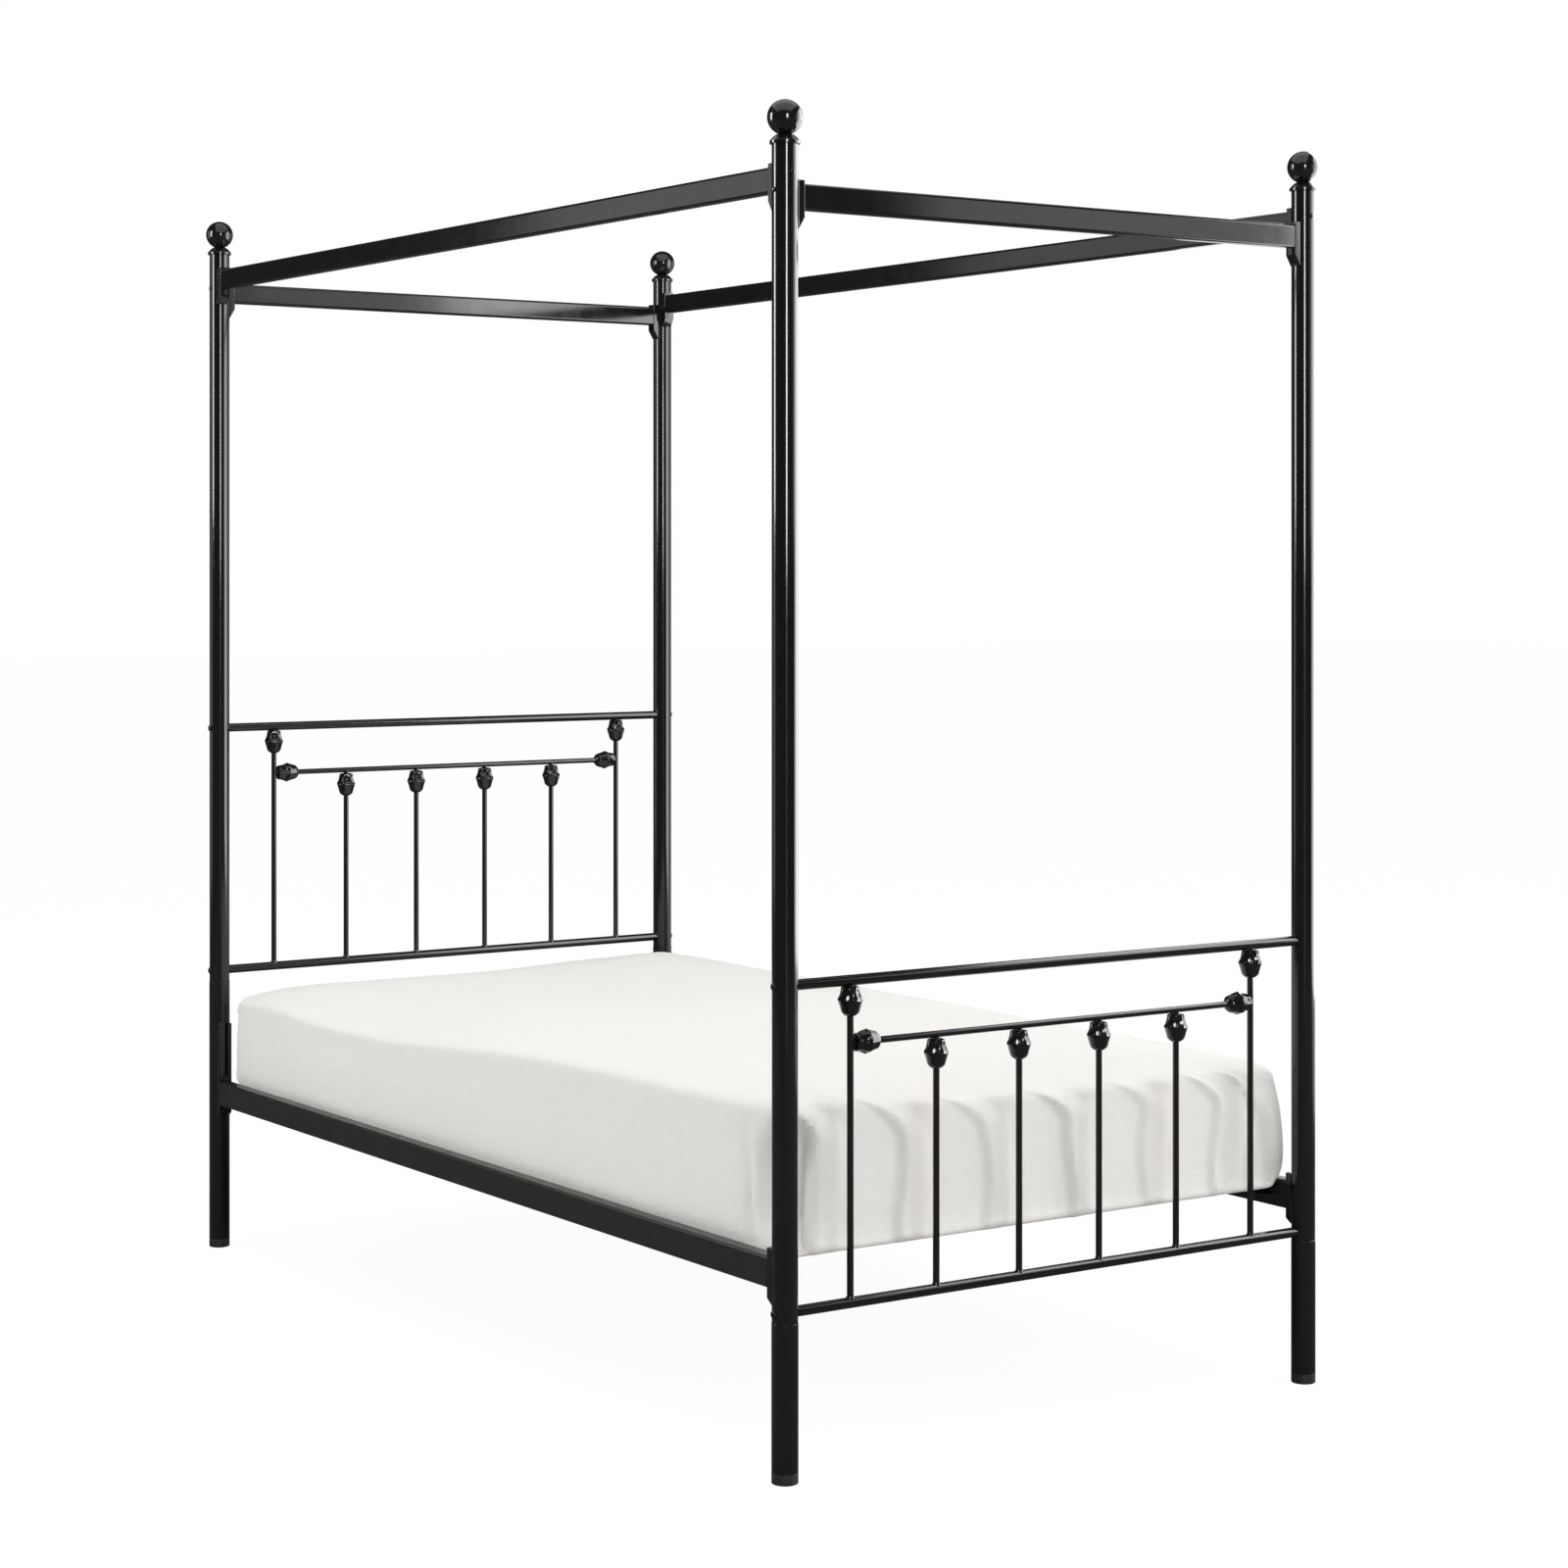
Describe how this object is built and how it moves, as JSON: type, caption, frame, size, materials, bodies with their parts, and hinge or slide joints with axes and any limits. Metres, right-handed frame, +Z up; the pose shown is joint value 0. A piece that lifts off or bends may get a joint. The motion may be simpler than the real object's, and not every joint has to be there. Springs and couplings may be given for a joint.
{
  "type": "four poster canopy bed",
  "caption": "Four poster canopy bed with round black steel posts, ball finials, canopy rails, spindled head and foot panels, slatted base and a mattress in a fitted sheet.",
  "frame": {"origin": "on the floor, under the middle of the bed", "axes": "+X across the bed to its right side, +Y along the bed from the footboard to the headboard, +Z up"},
  "size_m": [1.0672, 1.9812, 1.985],
  "materials": {
    "black_powder_coat": "gloss",
    "black_casting": "gloss",
    "black_bolt": "satin",
    "side_rail_coat": "satin",
    "slat_coat": "satin",
    "glide_plastic": "matte",
    "mattress_ticking": "matte",
    "cotton_sheet": "matte"
  },
  "bodies": {
    "frame": {"post_foot_left": "black_powder_coat", "leg_foot_left": "black_powder_coat", "foot_glide_foot_left": "glide_plastic", "finial_foot_left": "black_casting", "panel_bolt_foot_left_low": "black_bolt", "panel_bolt_foot_left_high": "black_bolt", "post_foot_right": "black_powder_coat", "leg_foot_right": "black_powder_coat", "foot_glide_foot_right": "glide_plastic", "finial_foot_right": "black_casting", "panel_bolt_foot_right_low": "black_bolt", "panel_bolt_foot_right_high": "black_bolt", "footboard_bottom_rail": "black_powder_coat", "footboard_top_rail": "black_powder_coat", "footboard_inner_rail": "black_casting", "footboard_spindle_1": "black_casting", "footboard_spindle_2": "black_casting", "footboard_spindle_3": "black_casting", "footboard_spindle_4": "black_casting", "footboard_spindle_5": "black_casting", "footboard_spindle_6": "black_casting", "post_head_left": "black_powder_coat", "leg_head_left": "black_powder_coat", "foot_glide_head_left": "glide_plastic", "finial_head_left": "black_casting", "panel_bolt_head_left_low": "black_bolt", "panel_bolt_head_left_high": "black_bolt", "post_head_right": "black_powder_coat", "leg_head_right": "black_powder_coat", "foot_glide_head_right": "glide_plastic", "finial_head_right": "black_casting", "panel_bolt_head_right_low": "black_bolt", "panel_bolt_head_right_high": "black_bolt", "headboard_bottom_rail": "black_powder_coat", "headboard_top_rail": "black_powder_coat", "headboard_inner_rail": "black_casting", "headboard_spindle_1": "black_casting", "headboard_spindle_2": "black_casting", "headboard_spindle_3": "black_casting", "headboard_spindle_4": "black_casting", "headboard_spindle_5": "black_casting", "headboard_spindle_6": "black_casting", "canopy_rail_foot": "black_powder_coat", "canopy_rail_head": "black_powder_coat", "canopy_rail_left": "black_powder_coat", "canopy_rail_right": "black_powder_coat", "side_rail_left": "side_rail_coat", "side_rail_right": "side_rail_coat", "slat_01": "slat_coat", "slat_02": "slat_coat", "slat_03": "slat_coat", "slat_04": "slat_coat", "slat_05": "slat_coat", "slat_06": "slat_coat", "slat_07": "slat_coat", "slat_08": "slat_coat", "slat_09": "slat_coat", "slat_10": "slat_coat"},
    "mattress": {"mattress": "mattress_ticking", "fitted_sheet": "cotton_sheet"}
  },
  "joints": [
    {"name": "mattress_lift", "type": "slide", "parent": "frame", "child": "mattress", "axis": [0, 0, 1], "range_m": [0, 0.35]}
  ]
}
